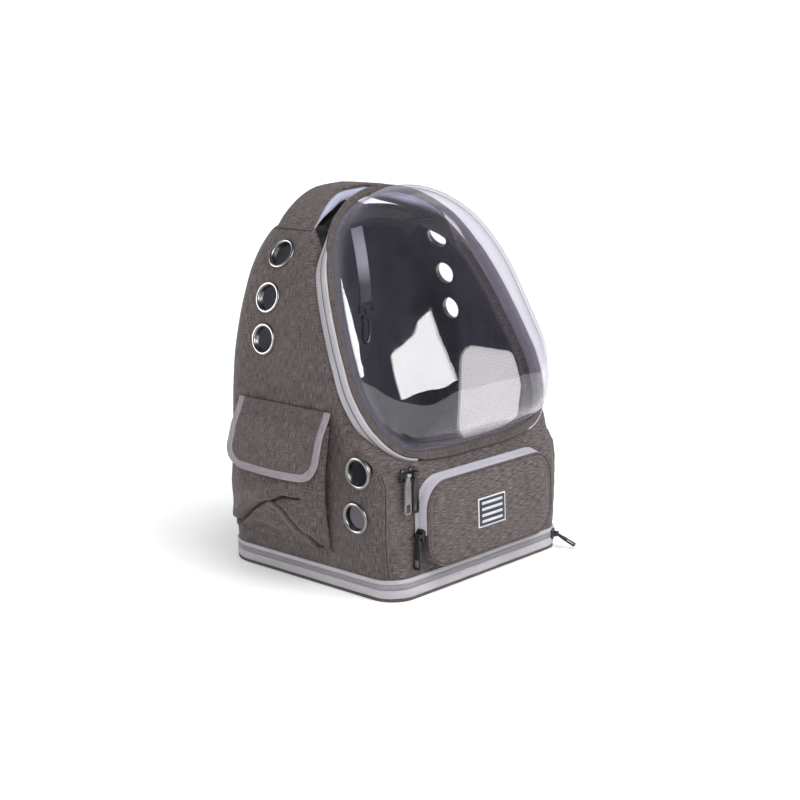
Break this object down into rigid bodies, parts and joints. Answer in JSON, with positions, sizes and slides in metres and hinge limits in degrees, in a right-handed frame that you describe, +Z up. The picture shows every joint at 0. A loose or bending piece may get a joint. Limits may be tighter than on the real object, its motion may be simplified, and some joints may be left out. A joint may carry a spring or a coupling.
{
  "type": "bubble pet carrier backpack",
  "caption": "Upright soft pet-carrier backpack with a clear bubble door, front and flapped side pockets, metal air eyelets, a mesh side window, carry handle and shoulder straps.",
  "frame": {"origin": "on the ground under the middle of the base", "axes": "+Z up, the bubble door faces -Y, the wearer's back is at +Y"},
  "size_m": [0.3829, 0.3311, 0.4528],
  "materials": {
    "cloth": "heathered brown-grey woven polyester",
    "lining": "smooth charcoal lining",
    "mesh": "fine beige mesh",
    "tape": "light grey zip tape",
    "mat": "beige fleece",
    "clear": "clear moulded plastic dome",
    "label": "plain woven patch",
    "binding": "mauve-grey edge binding",
    "airmesh": "pale padded air mesh",
    "black_cloth": "black padded mesh",
    "webbing": "black webbing",
    "plastic": "black moulded plastic",
    "nickel": "bright nickel plate"
  },
  "bodies": {
    "bag": {"shell": "cloth", "lining": "lining", "side_mesh": "mesh", "base_panel": "cloth", "base_tape_lower": "tape", "base_zip": "tape", "base_tape_upper": "tape", "floor_mat": "mat", "door_binding": "cloth", "bubble_dome": "clear", "door_tape_inner": "tape", "door_zip": "tape", "door_tape_outer": "tape", "front_pocket": "cloth", "pocket_piping": "cloth", "pocket_tape": "tape", "front_label": "label", "side_pocket": "cloth", "pocket_flap": "cloth", "flap_binding": "binding", "window_binding": "tape", "carry_handle": "cloth", "handle_pad": "airmesh", "back_pad": "black_cloth", "shoulder_strap_left": "black_cloth", "shoulder_strap_right": "black_cloth", "strap_webbing_left": "webbing", "strap_webbing_right": "webbing", "strap_adjuster_left": "plastic", "strap_adjuster_right": "plastic", "tether_strap": "webbing", "tether_ring": "plastic", "door_left_slider": "plastic", "door_right_slider": "plastic", "pocket_slider": "plastic", "base_slider": "plastic", "eyelet_left_1": "nickel", "eyelet_right_1": "nickel", "eyelet_left_2": "nickel", "eyelet_right_2": "nickel", "eyelet_left_3": "nickel", "eyelet_right_3": "nickel", "eyelet_left_low_1": "nickel", "eyelet_left_low_2": "nickel"},
    "door_pull_left": {"door_left_pull": "nickel"},
    "door_pull_right": {"door_right_pull": "plastic"},
    "pocket_zip_pull": {"pocket_pull": "plastic"},
    "base_zip_pull": {"base_pull": "plastic"},
    "hook": {"snap_hook": "plastic"},
    "gate": {"hook_gate": "plastic"}
  },
  "joints": [
    {"name": "door_pull_left_hinge", "type": "hinge", "parent": "bag", "child": "door_pull_left", "pos_m": [-0.136, -0.14192, 0.146], "axis": [-1, 0, 0], "range_deg": [0, 100]},
    {"name": "door_pull_right_hinge", "type": "hinge", "parent": "bag", "child": "door_pull_right", "pos_m": [-0.123, -0.14192, 0.146], "axis": [-1, 0, 0], "range_deg": [0, 100]},
    {"name": "pocket_pull_hinge", "type": "hinge", "parent": "bag", "child": "pocket_zip_pull", "pos_m": [-0.1229, -0.14471, 0.0745], "axis": [0, 1, 0], "range_deg": [0, 100]},
    {"name": "base_pull_hinge", "type": "hinge", "parent": "bag", "child": "base_zip_pull", "pos_m": [0.14151, -0.14387, 0.0171], "axis": [-0.9239, -0.3827, 0], "range_deg": [0, 60]},
    {"name": "hook_swivel", "type": "hinge", "parent": "bag", "child": "hook", "pos_m": [0.015, 0.062, 0.2905], "axis": [0, 0, 1], "continuous": true},
    {"name": "gate_hinge", "type": "hinge", "parent": "hook", "child": "gate", "pos_m": [0.0094, 0.062, 0.2803], "axis": [0, -1, 0], "range_deg": [0, 20], "stiffness_Nm_per_rad": 0.03}
  ]
}
